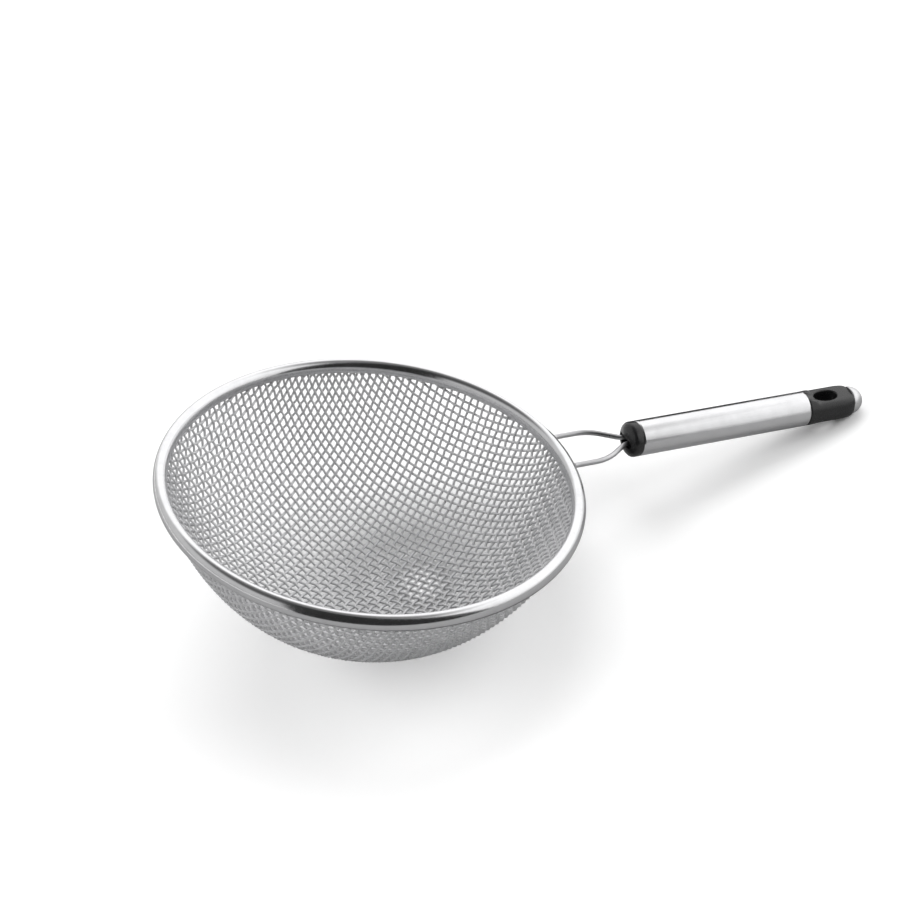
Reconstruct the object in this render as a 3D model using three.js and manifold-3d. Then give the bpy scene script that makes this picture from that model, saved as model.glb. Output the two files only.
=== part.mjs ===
// A kitchen oil strainer: a bowl of woven steel cloth hemmed into a rolled hoop,
// carried by a wire yoke on a tubular handle.
// It is drawn first in the hoop's own frame, with the handle along +X and the hoop's axis along +Z,
// and then laid down as it rests on a table, on the bottom of its bowl and on the end of its handle.
import * as THREE from "three";
import { mergeVertices } from "three/addons/utils/BufferGeometryUtils.js";
import Module from "manifold-3d";

const wasm = await Module();
wasm.setup();

// Driving dimensions, in millimetres
const HOOP_DIAMETER = 200;
const HOOP_SECTION_WIDTH = 6.6;
const HOOP_SECTION_HEIGHT = 8;
const HOOP_STRIP_THICKNESS = 0.6;
const BOWL_DEPTH = 70;
const BOWL_WIDEST_RISE = 160;
const CLOTH_PITCH = 14.5;
const CLOTH_WIRE_DIAMETER = 1.2;
const HEM_THICKNESS = 1.6;
const HEM_DEPTH = 3.2;
const HEM_OVERLAP = 0.8;
const YOKE_WIRE_DIAMETER = 2.5;
const YOKE_LEG_SPACING = 23.3;
const YOKE_LEG_LENGTH = 18.5;
const YOKE_NECK_SPACING = 6.8;
const YOKE_SHOULDER_REACH = 7;
const YOKE_NECK_REACH = 3;
const YOKE_LENGTH = 31.5;
const HANDLE_DIAMETER = 17.3;
const TUBE_LENGTH = 93;
const TUBE_WALL = 0.8;
const TUBE_EDGE_BREAK = 0.25;
const PLUG_HEAD_LENGTH = 7;
const PLUG_DOME = 4;
const PLUG_SPIGOT_LENGTH = 14;
const PLUG_SLOT_WIDTH = 11.6;
const PLUG_SLOT_HEIGHT = 4.2;
const PLUG_SLOT_DEPTH = 4;
const CAP_LENGTH = 25.7;
const CAP_SPIGOT_LENGTH = 14;
const CAP_SHOULDER = 6.5;
const CAP_END_DIAMETER = 14.4;
const CAP_LAND_THICKNESS = 11.6;
const CAP_COLLAR = 1.6;
const HANG_HOLE_LENGTH = 12.6;
const HANG_HOLE_WIDTH = 8;
const HANG_HOLE_FROM_TUBE = 11.8;
const BUTTON_DIAMETER = 13.8;
const BUTTON_HEIGHT = 6.4;
const BUTTON_STEM_DIAMETER = 4;
const BUTTON_STEM_LENGTH = 5;
const REST_FLAT_DEPTH = 0.7;
const CLEARANCE = 0.3;

// Driving angles, in degrees
const CLOTH_TURN = 34;
const HEM_WRAP_END = 105;

// How full the bowl is: 2 makes its section an ellipse, and more makes the bottom flatter
const BOWL_FULLNESS = 2.6;

// Facet counts
const HOOP_FACETS = 48;
const HOOP_SECTION_FACETS = 12;
const HEM_ARC_FACETS = 1;
const HEM_WIRE_FACETS = 6;
const HANDLE_FACETS = 32;
const DOME_FACETS = 6;
const HOLE_FACETS = 12;
const YOKE_FACETS = 8;
const YOKE_STEPS = 56;

// How close a search comes to its answer, and how close two points are when they are one
const ANGLE_TOLERANCE = 1e-7;
const MERGE_DISTANCE = 1e-4;
const CORNER_ROUNDS = 12;

// Values that follow from the driving ones
const hoopRadius = HOOP_DIAMETER / 2;
const sectionHalfWidth = HOOP_SECTION_WIDTH / 2;
const sectionHalfHeight = HOOP_SECTION_HEIGHT / 2;
const sectionRadius = hoopRadius - sectionHalfWidth;
const clothWireRadius = CLOTH_WIRE_DIAMETER / 2;
const yokeWireRadius = YOKE_WIRE_DIAMETER / 2;
const handleRadius = HANDLE_DIAMETER / 2;
const spigotRadius = handleRadius - TUBE_WALL - CLEARANCE;
const plugFace = hoopRadius + YOKE_LENGTH;
const tubeStart = plugFace + PLUG_HEAD_LENGTH;
const tubeEnd = tubeStart + TUBE_LENGTH;
const spigotEnd = tubeStart + PLUG_SPIGOT_LENGTH;
const capEnd = tubeEnd + CAP_LENGTH;
const buttonStart = capEnd + CLEARANCE;
const buttonRadius = BUTTON_DIAMETER / 2;
const stemRadius = BUTTON_STEM_DIAMETER / 2;
const legOffset = YOKE_LEG_SPACING / 2;
const neckOffset = YOKE_NECK_SPACING / 2;

// The bowl is the bottom of a full ellipsoid, which would be widest some way above the hoop.
// Its wall goes through the middle of the hoop's section.
const bowlHalfHeight = BOWL_DEPTH + BOWL_WIDEST_RISE;
const fullnessShare = 1 - (BOWL_WIDEST_RISE / bowlHalfHeight) ** BOWL_FULLNESS;
const bowlHalfWidth = sectionRadius / fullnessShare ** (1 / BOWL_FULLNESS);
const hoopSlope = bowlSlope(new THREE.Vector3(sectionRadius, 0, 0));
const wallAngle = Math.atan2(hoopSlope.x, -hoopSlope.z);

// The hem: the cloth's folded edge turns over a wire that fills the room inside the hoop's outer wall.
const hollowHalfWidth = sectionHalfWidth - HOOP_STRIP_THICKNESS;
const hollowHalfHeight = sectionHalfHeight - HOOP_STRIP_THICKNESS;
const hemRoom = Math.sin(wallAngle) * (hollowHalfWidth - CLEARANCE) - CLEARANCE - HEM_THICKNESS / 2;
const hemWireRadius = hemRoom / (1 + Math.sin(wallAngle));
const hemInnerRadius = hemWireRadius + CLEARANCE;
const hemOuterRadius = hemInnerRadius + HEM_THICKNESS;
const hemWireCentre = sectionRadius + (hemInnerRadius + HEM_THICKNESS / 2) / Math.sin(wallAngle);
const clothEdge = HEM_OVERLAP - HEM_DEPTH;

// Solids that can be joined and cut
function toSolid(geometry) {
  const bare = geometry.clone();
  bare.deleteAttribute("normal");
  bare.deleteAttribute("uv");
  const merged = mergeVertices(bare, MERGE_DISTANCE);
  const corners = [];
  for (let i = 0; i < merged.index.count; i += 3) {
    const [a, b, c] = [0, 1, 2].map((k) => merged.index.getX(i + k));
    if (a !== b && b !== c && c !== a) corners.push(a, b, c);
  }
  const mesh = new wasm.Mesh({
    numProp: 3,
    vertProperties: merged.attributes.position.array,
    triVerts: Uint32Array.from(corners),
  });
  return new wasm.Manifold(mesh);
}

function toGeometry(solid) {
  const mesh = solid.getMesh();
  const geometry = new THREE.BufferGeometry();
  geometry.setAttribute("position", new THREE.BufferAttribute(mesh.vertProperties, 3));
  geometry.setIndex(new THREE.BufferAttribute(mesh.triVerts, 1));
  return geometry;
}

// A profile of (radius, height) points turned round the hoop's axis, +Z
function turnedAboutHoop(profile) {
  return new THREE.LatheGeometry(profile, HOOP_FACETS).rotateX(Math.PI / 2);
}

// A profile of (radius, distance) points turned round the handle's axis, +X
function turnedAboutHandle(profile) {
  return new THREE.LatheGeometry(profile, HANDLE_FACETS).rotateZ(-Math.PI / 2);
}

// A shape drawn in the (Y, Z) plane and pushed along +X
function pushedAlongHandle(shape, from, length) {
  const settings = { depth: length, bevelEnabled: false, curveSegments: HOLE_FACETS / 2 };
  const turn = new THREE.Matrix4().set(0, 0, 1, from, 1, 0, 0, 0, 0, 1, 0, 0, 0, 0, 0, 1);
  return new THREE.ExtrudeGeometry(shape, settings).applyMatrix4(turn);
}

const point = (x, y) => new THREE.Vector2(x, y);
const roundShape = (x, y, radius) => new THREE.Shape().absarc(x, y, radius, 0, 2 * Math.PI);

// A quarter of an ellipse from the axis out to the given radius, for the domed ends on the handle
function domeProfile(apex, base, radius) {
  const curve = new THREE.EllipseCurve(0, base, radius, Math.abs(apex - base), 0, Math.PI / 2);
  const side = Math.sign(apex - base);
  const profile = curve.getPoints(DOME_FACETS).map((p) => point(p.x, base + side * (p.y - base)));
  profile[DOME_FACETS].x = 0;
  return profile;
}

// Hoop: a steel strip rolled to an oval section, left open below where the cloth comes in
function rimHoop() {
  const across = sectionHalfWidth * Math.sin(wallAngle);
  const down = sectionHalfHeight * Math.cos(wallAngle);
  const mouth = Math.PI + Math.atan2(across, down);
  const arcRate = Math.hypot(sectionHalfWidth * Math.sin(mouth), sectionHalfHeight * Math.cos(mouth));
  const halfMouth = (CLOTH_WIRE_DIAMETER + 2 * CLEARANCE) / arcRate;
  const start = mouth + halfMouth - 2 * Math.PI;
  const end = mouth - halfMouth;
  const outside = new THREE.EllipseCurve(sectionRadius, 0, sectionHalfWidth, sectionHalfHeight, start, end);
  const hollow = new THREE.EllipseCurve(sectionRadius, 0, hollowHalfWidth, hollowHalfHeight, start, end);
  const backWay = hollow.getPoints(HOOP_SECTION_FACETS).reverse();
  const profile = [...outside.getPoints(HOOP_SECTION_FACETS), ...backWay];
  return turnedAboutHoop([...profile, profile[0]]);
}

// Hem wire: the ring inside the hoop that keeps the cloth from pulling out
function hemWire() {
  const section = new THREE.EllipseCurve(hemWireCentre, 0, hemWireRadius, hemWireRadius);
  return turnedAboutHoop(section.getPoints(HEM_WIRE_FACETS));
}

// Hem: the band of cloth that runs up into the hoop and over the hem wire
function hemBand() {
  const along = point(Math.cos(wallAngle), Math.sin(wallAngle));
  const tangent = wallAngle + Math.PI / 2;
  const wrapEnd = THREE.MathUtils.degToRad(HEM_WRAP_END);
  const length = (HEM_DEPTH + hemOuterRadius * Math.cos(wallAngle)) / Math.sin(wallAngle);
  const foot = (radius) => {
    const touch = point(hemWireCentre + radius * Math.cos(tangent), radius * Math.sin(tangent));
    return touch.addScaledVector(along, -length);
  };
  const band = new THREE.Path();
  band.moveTo(...foot(hemInnerRadius));
  band.lineTo(...foot(hemOuterRadius));
  band.absarc(hemWireCentre, 0, hemOuterRadius, tangent, wrapEnd, true);
  band.absarc(hemWireCentre, 0, hemInnerRadius, wrapEnd, tangent, false);
  band.closePath();
  return turnedAboutHoop(band.getPoints(HEM_ARC_FACETS).reverse());
}

// A point of the bowl's meridian and the surface's outward direction at any of its points
function meridianPoint(t) {
  const radius = bowlHalfWidth * Math.sin(t) ** (2 / BOWL_FULLNESS);
  const drop = bowlHalfHeight * Math.cos(t) ** (2 / BOWL_FULLNESS);
  return new THREE.Vector3(radius, 0, BOWL_WIDEST_RISE - drop);
}

function bowlSlope(p) {
  const across = Math.hypot(p.x, p.y) ** (BOWL_FULLNESS - 2) / bowlHalfWidth ** BOWL_FULLNESS;
  const down = (BOWL_WIDEST_RISE - p.z) ** (BOWL_FULLNESS - 1) / bowlHalfHeight ** BOWL_FULLNESS;
  return new THREE.Vector3(p.x * across, p.y * across, -down);
}

// How far a point lies off the bowl, on the scale of the slope there
function offBowlAt(p) {
  const across = (Math.hypot(p.x, p.y) / bowlHalfWidth) ** BOWL_FULLNESS;
  const down = ((BOWL_WIDEST_RISE - p.z) / bowlHalfHeight) ** BOWL_FULLNESS;
  return (across + down - 1) / BOWL_FULLNESS;
}

// The next point of a meridian, one pitch on from the last along a straight line
function nextMeridianAngle(last) {
  const from = meridianPoint(last);
  let low = last;
  let high = last + Math.PI / 4;
  while (high - low > ANGLE_TOLERANCE) {
    const middle = (low + high) / 2;
    if (meridianPoint(middle).distanceTo(from) < CLOTH_PITCH) low = middle;
    else high = middle;
  }
  return low;
}

// The fourth corner of a cell of the cloth: on the bowl, and one pitch from both of its neighbours
function fourthCorner(a, b, opposite) {
  const p = a.clone().add(b).sub(opposite);
  for (let round = 0; round < CORNER_ROUNDS; round++) {
    const fromA = p.clone().sub(a);
    const fromB = p.clone().sub(b);
    const slope = bowlSlope(p);
    const [offA, offB] = [fromA, fromB].map((side) => (side.lengthSq() - CLOTH_PITCH ** 2) / 2);
    const miss = new THREE.Vector3(offA, offB, offBowlAt(p));
    const rows = new THREE.Matrix3().set(...fromA.toArray(), ...fromB.toArray(), ...slope.toArray());
    p.sub(miss.applyMatrix3(rows.invert()));
  }
  return p;
}

// One quarter of the net that flat cloth makes when it is pressed into the bowl.
// Its cells shear but keep the length of their sides.
function quarterNet() {
  const net = [[meridianPoint(0)]];
  const firstRow = net[0];
  for (let angle = 0; firstRow.at(-1).z < CLOTH_PITCH; ) {
    angle = nextMeridianAngle(angle);
    firstRow.push(meridianPoint(angle));
  }
  for (let i = 1; i < firstRow.length; i++) {
    const side = firstRow[i];
    const row = [new THREE.Vector3(0, side.x, side.z)];
    const before = net[i - 1];
    for (let j = 1; j < before.length && row[j - 1].z < CLOTH_PITCH && before[j].z < CLOTH_PITCH; j++) {
      row.push(fourthCorner(row[j - 1], before[j], before[j - 1]));
    }
    net.push(row);
  }
  return net;
}

// A place in the whole net, found by mirroring the quarter
function netPoint(net, i, j) {
  const corner = net[Math.abs(i)]?.[Math.abs(j)];
  return corner && new THREE.Vector3(corner.x * Math.sign(j || 1), corner.y * Math.sign(i || 1), corner.z);
}

// The woven net as one skin: at each crossing one wire lies on the other, and at the next they trade places.
// A crossing has four corners on three levels, inner to outer.
// A wire leaves it by the half face of its own level.
const LEVELS = 3;
const CROSSING_POINTS = 4 * LEVELS;
const WIRE_WAYS = [
  { step: [0, 1], leaving: [3, 0], arriving: [2, 1] },
  { step: [1, 0], leaving: [0, 1], arriving: [3, 2] },
];

function wovenNet() {
  const net = quarterNet();
  const place = (i, j) => netPoint(net, i, j);
  const inNet = (i, j) => place(i, j)?.z < clothEdge + HEM_OVERLAP / 2;
  const positions = [];
  const faces = [];
  const first = new Map();
  const addPoint = (p) => positions.push(p.x, p.y, p.z) / 3 - 1;
  const addQuad = (a, b, c, d) => faces.push(a, b, c, a, c, d);
  const corner = (ring, k) => ring[k % ring.length];
  const addPrism = (from, to) => {
    from.forEach((a, k) => addQuad(a, to[k], corner(to, k + 1), corner(from, k + 1)));
  };
  const beyond = (i, j, di, dj) => {
    return place(i + di, j + dj) ?? place(i, j).multiplyScalar(2).sub(place(i - di, j - dj));
  };
  const wireWay = (i, j, [di, dj]) => beyond(i, j, di, dj).sub(beyond(i, j, -di, -dj)).normalize();

  // The four corners and three levels of a crossing
  function addCrossing(i, j) {
    const centre = place(i, j);
    const inward = bowlSlope(centre).normalize().negate();
    const ways = WIRE_WAYS.map(({ step }) => wireWay(i, j, step));
    const half = clothWireRadius / ways[0].clone().cross(ways[1]).length();
    first.set(`${i},${j}`, positions.length / 3);
    for (const level of [1, 0, -1]) {
      for (const [a, b] of [[1, 1], [-1, 1], [-1, -1], [1, -1]]) {
        const spot = centre.clone().addScaledVector(ways[0], a * half).addScaledVector(ways[1], b * half);
        addPoint(spot.addScaledVector(inward, level * CLOTH_WIRE_DIAMETER));
      }
    }
    const base = first.get(`${i},${j}`);
    const outer = base + CROSSING_POINTS - 4;
    addQuad(base, base + 1, base + 2, base + 3);
    addQuad(outer + 3, outer + 2, outer + 1, outer);
  }

  // The half face of a crossing on one side, as a ring of four points; level 0 is the inner half
  function halfFace(i, j, [left, right], level) {
    const base = first.get(`${i},${j}`) + 4 * level;
    return [base + left, base + right, base + 4 + right, base + 4 + left];
  }

  // The squared end of a wire that runs on from a crossing into the hem
  function hemEnd(i, j, di, dj, way) {
    const inside = place(i, j);
    const outside = beyond(i, j, di, dj);
    const endHeight = Math.max(clothEdge, inside.z + clothWireRadius);
    const end = inside.clone().lerp(outside, (endHeight - inside.z) / (outside.z - inside.z));
    const inward = bowlSlope(end).normalize().negate();
    const right = inward.clone().cross(outside.sub(inside).multiplyScalar(way)).setLength(clothWireRadius);
    inward.multiplyScalar(clothWireRadius);
    return [[-1, 1], [1, 1], [1, -1], [-1, -1]].map(([across, up]) => {
      const spot = end.clone().addScaledVector(right, across);
      return addPoint(spot.addScaledVector(inward, up));
    });
  }

  const crossings = [];
  const count = net.length;
  for (let i = -count; i <= count; i++) {
    for (let j = -count; j <= count; j++) {
      if (inNet(i, j)) crossings.push([i, j]);
    }
  }
  for (const [i, j] of crossings) addCrossing(i, j);
  for (const [i, j] of crossings) {
    WIRE_WAYS.forEach(({ step: [di, dj], leaving, arriving }, family) => {
      const level = Math.abs(i + j + family) % 2;
      const leave = halfFace(i, j, leaving, level);
      const arrive = halfFace(i, j, arriving, level);
      addQuad(...halfFace(i, j, leaving, 1 - level).reverse());
      addQuad(...halfFace(i, j, arriving, 1 - level));
      if (inNet(i + di, j + dj)) addPrism(leave, halfFace(i + di, j + dj, arriving, 1 - level));
      else {
        const end = hemEnd(i, j, di, dj, 1);
        addPrism(leave, end);
        addQuad(...end.reverse());
      }
      if (!inNet(i - di, j - dj)) {
        const end = hemEnd(i, j, -di, -dj, -1);
        addPrism(end, arrive);
        addQuad(...end);
      }
    });
  }
  const geometry = new THREE.BufferGeometry();
  geometry.setAttribute("position", new THREE.Float32BufferAttribute(positions, 3));
  return geometry.setIndex(faces);
}

// How far the tilted bowl and the tilted handle reach below the hoop's centre
const reachPower = BOWL_FULLNESS / (BOWL_FULLNESS - 1);
function lowestOfBowl(tilt) {
  const across = (bowlHalfWidth * Math.sin(tilt)) ** reachPower;
  const down = (bowlHalfHeight * Math.cos(tilt)) ** reachPower;
  const belowWidest = (across + down) ** (1 / reachPower);
  return belowWidest - BOWL_WIDEST_RISE * Math.cos(tilt) + CLOTH_WIRE_DIAMETER - REST_FLAT_DEPTH;
}
const lowestOfHandle = (tilt) =>
  buttonStart * Math.sin(tilt) + Math.hypot(BUTTON_HEIGHT * Math.sin(tilt), buttonRadius * Math.cos(tilt));

// The strainer tips on its bowl until the button on the end of the handle meets the table.
function findRestTilt() {
  let low = 0;
  let high = Math.PI / 4;
  while (high - low > ANGLE_TOLERANCE) {
    const middle = (low + high) / 2;
    if (lowestOfHandle(middle) < lowestOfBowl(middle)) low = middle;
    else high = middle;
  }
  return low;
}
const restTilt = findRestTilt();

// Bowl: the woven net joined to its hem, with a small flat where the bowl stands
function meshBowl() {
  const net = wovenNet().rotateZ(THREE.MathUtils.degToRad(CLOTH_TURN));
  const table = new THREE.BoxGeometry(HOOP_DIAMETER, HOOP_DIAMETER, BOWL_DEPTH);
  table.translate(0, 0, -lowestOfBowl(restTilt) - BOWL_DEPTH / 2).rotateY(-restTilt);
  return toGeometry(toSolid(net).add(toSolid(hemBand())).subtract(toSolid(table)));
}

// Yoke: one hairpin of wire, its bend trapped behind the plug and its ends welded to the hoop
function yokeWire() {
  const legStart = Math.sqrt(hoopRadius ** 2 - (legOffset - yokeWireRadius) ** 2) + CLEARANCE;
  const shoulder = legStart + YOKE_LEG_LENGTH;
  const bendEnd = spigotEnd + yokeWireRadius + CLEARANCE + neckOffset;
  const half = [
    [legStart, legOffset],
    [shoulder, legOffset, YOKE_SHOULDER_REACH],
    [plugFace, neckOffset, YOKE_NECK_REACH],
    [bendEnd, neckOffset, neckOffset],
  ];
  const otherHalf = half.map(([x, y, reach]) => [x, -y, reach]).reverse();
  const corners = [...half, ...otherHalf];
  const path = new THREE.CurvePath();
  const spot = ([x, y]) => new THREE.Vector3(x, y, 0);
  let from = spot(corners[0]);
  for (let i = 1; i < corners.length - 1; i++) {
    const corner = spot(corners[i]);
    const reach = corners[i][2];
    const before = corner.clone().add(spot(corners[i - 1]).sub(corner).setLength(reach));
    const after = corner.clone().add(spot(corners[i + 1]).sub(corner).setLength(reach));
    if (before.distanceTo(from) > CLEARANCE) path.add(new THREE.LineCurve3(from, before));
    path.add(new THREE.QuadraticBezierCurve3(before, corner, after));
    from = after;
  }
  path.add(new THREE.LineCurve3(from, spot(corners.at(-1))));
  const section = roundShape(0, 0, yokeWireRadius);
  const sweep = { extrudePath: path, steps: YOKE_STEPS, curveSegments: YOKE_FACETS / 2 };
  return new THREE.ExtrudeGeometry(section, { ...sweep, bevelEnabled: false });
}

// Plug: a domed head, a spigot in the tube, a slot in the face and a hole for each leg of the yoke
function frontPlug() {
  const head = tubeStart - CLEARANCE;
  const profile = [
    point(0, spigotEnd),
    point(spigotRadius, spigotEnd),
    point(spigotRadius, head),
    point(handleRadius, head),
    ...domeProfile(plugFace, plugFace + PLUG_DOME, handleRadius),
  ];
  let plug = toSolid(turnedAboutHandle(profile.reverse()));
  const slotRadius = PLUG_SLOT_HEIGHT / 2;
  const slotReach = PLUG_SLOT_WIDTH / 2 - slotRadius;
  const slot = new THREE.Shape();
  slot.absarc(slotReach, 0, slotRadius, -Math.PI / 2, Math.PI / 2);
  slot.absarc(-slotReach, 0, slotRadius, Math.PI / 2, 1.5 * Math.PI);
  plug = plug.subtract(toSolid(pushedAlongHandle(slot, plugFace - CLEARANCE, PLUG_SLOT_DEPTH + CLEARANCE)));
  for (const y of [-neckOffset, neckOffset]) {
    const hole = roundShape(y, 0, yokeWireRadius + CLEARANCE);
    plug = plug.subtract(toSolid(pushedAlongHandle(hole, plugFace, spigotEnd - plugFace + CLEARANCE)));
  }
  return toGeometry(plug);
}

// Tube: the handle's sleeve, with the sharp edge taken off both ends
function handleTube() {
  const bore = handleRadius - TUBE_WALL;
  const profile = [
    point(bore, tubeStart),
    point(handleRadius - TUBE_EDGE_BREAK, tubeStart),
    point(handleRadius, tubeStart + TUBE_EDGE_BREAK),
    point(handleRadius, tubeEnd - TUBE_EDGE_BREAK),
    point(handleRadius - TUBE_EDGE_BREAK, tubeEnd),
    point(bore, tubeEnd),
  ];
  return turnedAboutHandle([...profile, profile[0]]);
}

// The wedge that is milled off one side of the cap to leave a flat land round the hang hole
function landCut(side) {
  const land = CAP_LAND_THICKNESS / 2;
  const rise = handleRadius - land + CLEARANCE;
  const start = tubeEnd + CAP_COLLAR;
  const outline = new THREE.Shape();
  outline.moveTo(start, side * (land + rise));
  outline.lineTo(start + rise, side * land);
  outline.lineTo(capEnd + CLEARANCE, side * land);
  outline.lineTo(capEnd + CLEARANCE, side * (land + rise));
  const settings = { depth: 2 * handleRadius, bevelEnabled: false };
  return new THREE.ExtrudeGeometry(outline, settings).translate(0, 0, -handleRadius).rotateX(Math.PI / 2);
}

// Cap: a shouldered end with a spigot in the tube, two flat lands, an oval hang hole and the button's socket
function endCap() {
  const collar = tubeEnd + CLEARANCE;
  const endRadius = CAP_END_DIAMETER / 2;
  const shoulderStart = capEnd - CAP_SHOULDER;
  const roundOff = handleRadius - endRadius;
  const shoulder = new THREE.EllipseCurve(endRadius, shoulderStart, roundOff, CAP_SHOULDER, 0, Math.PI / 2);
  const profile = [
    point(0, tubeEnd - CAP_SPIGOT_LENGTH),
    point(spigotRadius, tubeEnd - CAP_SPIGOT_LENGTH),
    point(spigotRadius, collar),
    point(handleRadius, collar),
    ...shoulder.getPoints(DOME_FACETS),
    point(0, capEnd),
  ];
  const hole = new THREE.Shape();
  const holeCentre = tubeEnd + HANG_HOLE_FROM_TUBE;
  hole.absellipse(holeCentre, 0, HANG_HOLE_LENGTH / 2, HANG_HOLE_WIDTH / 2, 0, 2 * Math.PI);
  const holeSettings = { depth: HANDLE_DIAMETER, bevelEnabled: false, curveSegments: HOLE_FACETS };
  const holeTool = new THREE.ExtrudeGeometry(hole, holeSettings).translate(0, 0, -handleRadius);
  const socketDepth = BUTTON_STEM_LENGTH + CLEARANCE;
  const socketShape = roundShape(0, 0, stemRadius + CLEARANCE);
  const socket = pushedAlongHandle(socketShape, capEnd - socketDepth, socketDepth + CLEARANCE);
  const cuts = [landCut(1), landCut(-1), holeTool, socket];
  const whole = toSolid(turnedAboutHandle(profile));
  return toGeometry(cuts.reduce((cap, cut) => cap.subtract(toSolid(cut)), whole));
}

// Button: the polished dome that closes the end of the handle, on a stem in the cap
function endButton() {
  const profile = [
    point(0, capEnd - BUTTON_STEM_LENGTH),
    point(stemRadius, capEnd - BUTTON_STEM_LENGTH),
    point(stemRadius, buttonStart),
    ...domeProfile(buttonStart + BUTTON_HEIGHT, buttonStart, buttonRadius),
  ];
  return turnedAboutHandle(profile);
}

// Materials
const metal = (color, roughness) => new THREE.MeshStandardMaterial({ color, roughness, metalness: 1 });
const plastic = (color, roughness) => new THREE.MeshStandardMaterial({ color, roughness, metalness: 0 });
const clothSteel = metal(0xc4c6c8, 0.35);
const polishedSteel = metal(0xd6d8da, 0.12);
const brushedSteel = metal(0xcfd1d3, 0.25);
const blackPlastic = plastic(0x1c1c1d, 0.45);

// Assembly
const strainer = new THREE.Group();
const pieces = [
  ["mesh_bowl", meshBowl(), clothSteel],
  ["rim_hoop", rimHoop(), polishedSteel],
  ["hem_wire", hemWire(), clothSteel],
  ["yoke_wire", yokeWire(), polishedSteel],
  ["front_plug", frontPlug(), blackPlastic],
  ["handle_tube", handleTube(), brushedSteel],
  ["end_cap", endCap(), blackPlastic],
  ["end_button", endButton(), polishedSteel],
];
for (const [name, geometry, material] of pieces) {
  const mesh = new THREE.Mesh(geometry, material);
  mesh.name = name;
  strainer.add(mesh);
}

// The origin lies on the table, under the middle of the strainer as it rests.
strainer.rotation.y = restTilt;
const reach = new THREE.Box3().setFromObject(strainer, true);
strainer.position.set(-(reach.min.x + reach.max.x) / 2, 0, -reach.min.z);

export default strainer;
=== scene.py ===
import math

import bmesh
import bpy
import numpy as np
from mathutils import Matrix, Vector


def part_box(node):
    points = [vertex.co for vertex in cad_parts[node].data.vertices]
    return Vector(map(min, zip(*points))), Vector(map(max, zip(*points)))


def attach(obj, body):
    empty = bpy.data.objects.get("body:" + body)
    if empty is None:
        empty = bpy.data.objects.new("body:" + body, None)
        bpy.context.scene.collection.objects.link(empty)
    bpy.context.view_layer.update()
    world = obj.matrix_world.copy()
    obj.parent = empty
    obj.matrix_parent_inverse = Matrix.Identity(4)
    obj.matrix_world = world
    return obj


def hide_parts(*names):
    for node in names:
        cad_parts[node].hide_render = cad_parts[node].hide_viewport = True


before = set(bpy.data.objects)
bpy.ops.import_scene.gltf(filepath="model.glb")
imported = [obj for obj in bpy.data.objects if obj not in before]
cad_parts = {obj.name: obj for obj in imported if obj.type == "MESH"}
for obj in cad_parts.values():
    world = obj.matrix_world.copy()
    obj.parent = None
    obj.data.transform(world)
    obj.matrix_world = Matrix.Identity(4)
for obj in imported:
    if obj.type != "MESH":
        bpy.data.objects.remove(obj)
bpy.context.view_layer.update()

# Sizes in millimetres. In the strainer's own frame 0 is the hoop's centre, +X the handle's way and +Z up
MM = 0.001
HOOP_DIAMETER = 200
HOOP_SECTION_WIDTH = 6.6
HOOP_SECTION_HEIGHT = 8
HOOP_STRIP_THICKNESS = 0.6
BOWL_DEPTH = 70
BOWL_WIDEST_RISE = 160
CLOTH_PITCH = 3.7
CLOTH_WIRE_DIAMETER = 1.25
CLOTH_TOP = -1.2
MOUTH_CLEARANCE = 0.5
YOKE_WIRE_DIAMETER = 2.5
YOKE_LEG_SPACING = 23.3
YOKE_LEG_LENGTH = 18.5
YOKE_NECK_SPACING = 4.6
YOKE_SHOULDER_REACH = 7
YOKE_NECK_REACH = 3
YOKE_LENGTH = 31.5
YOKE_END = 148
WELD_LENGTH = 1.6
WELD_FLARE = 0.45
WELD_SINK = 0.35
HANDLE_DIAMETER = 17.3
TUBE_LENGTH = 93
TUBE_WALL = 0.8
TUBE_EDGE_ROUND = 0.5
TUBE_END_ROLL = 0.8
TUBE_END_DROP = 0.25
PLUG_HEAD_LENGTH = 7
PLUG_DOME = 4
PLUG_SPIGOT_LENGTH = 14
PLUG_EDGE_ROUND = 0.5
PLUG_SLOT_WIDTH = 11.6
PLUG_SLOT_HEIGHT = 4.2
PLUG_SLOT_DEPTH = 4
CAP_LENGTH = 25.7
CAP_SPIGOT_LENGTH = 10
CAP_SHOULDER = 6.5
CAP_END_DIAMETER = 14.4
CAP_LAND_THICKNESS = 11.6
CAP_COLLAR = 1.6
CAP_EDGE_ROUND = 0.4
CAP_RAMP_ROUND = 3
HANG_LIP_ROUND = 0.8
HANG_HOLE_LENGTH = 12.6
HANG_HOLE_WIDTH = 8
HANG_HOLE_FROM_TUBE = 11.8
BUTTON_DIAMETER = 13.8
BUTTON_HEIGHT = 7.4
BUTTON_EDGE_ROUND = 0.5
BUTTON_FOOT = 2
SEAM = 0.15
# How far the tools and the lands' slope run past the surfaces that they meet
OVERSHOOT = 1

# The turn of the cloth in degrees
CLOTH_TURN = 34
# How full the bowl is: 2 is an ellipse, and more is flatter below
BOWL_FULLNESS = 2.6
# How sharp the edges of the cap's lands are: 2 is an ellipse, and more is sharper
LAND_SHARPNESS = 16

# The camera in pixels, millimetres and degrees, solved from the photograph's rim, bowl and handle
PICTURE_SIZE = 897
FOCAL_PIXELS = 2604
SENSOR_WIDTH = 36
CAMERA_DISTANCE = 1200
CAMERA_TURN = 23.48
CAMERA_RISE = 38.9
CAMERA_TIP = 6.49
CAMERA_RIGHT = -35.83
CAMERA_UP = -17.35

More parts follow.
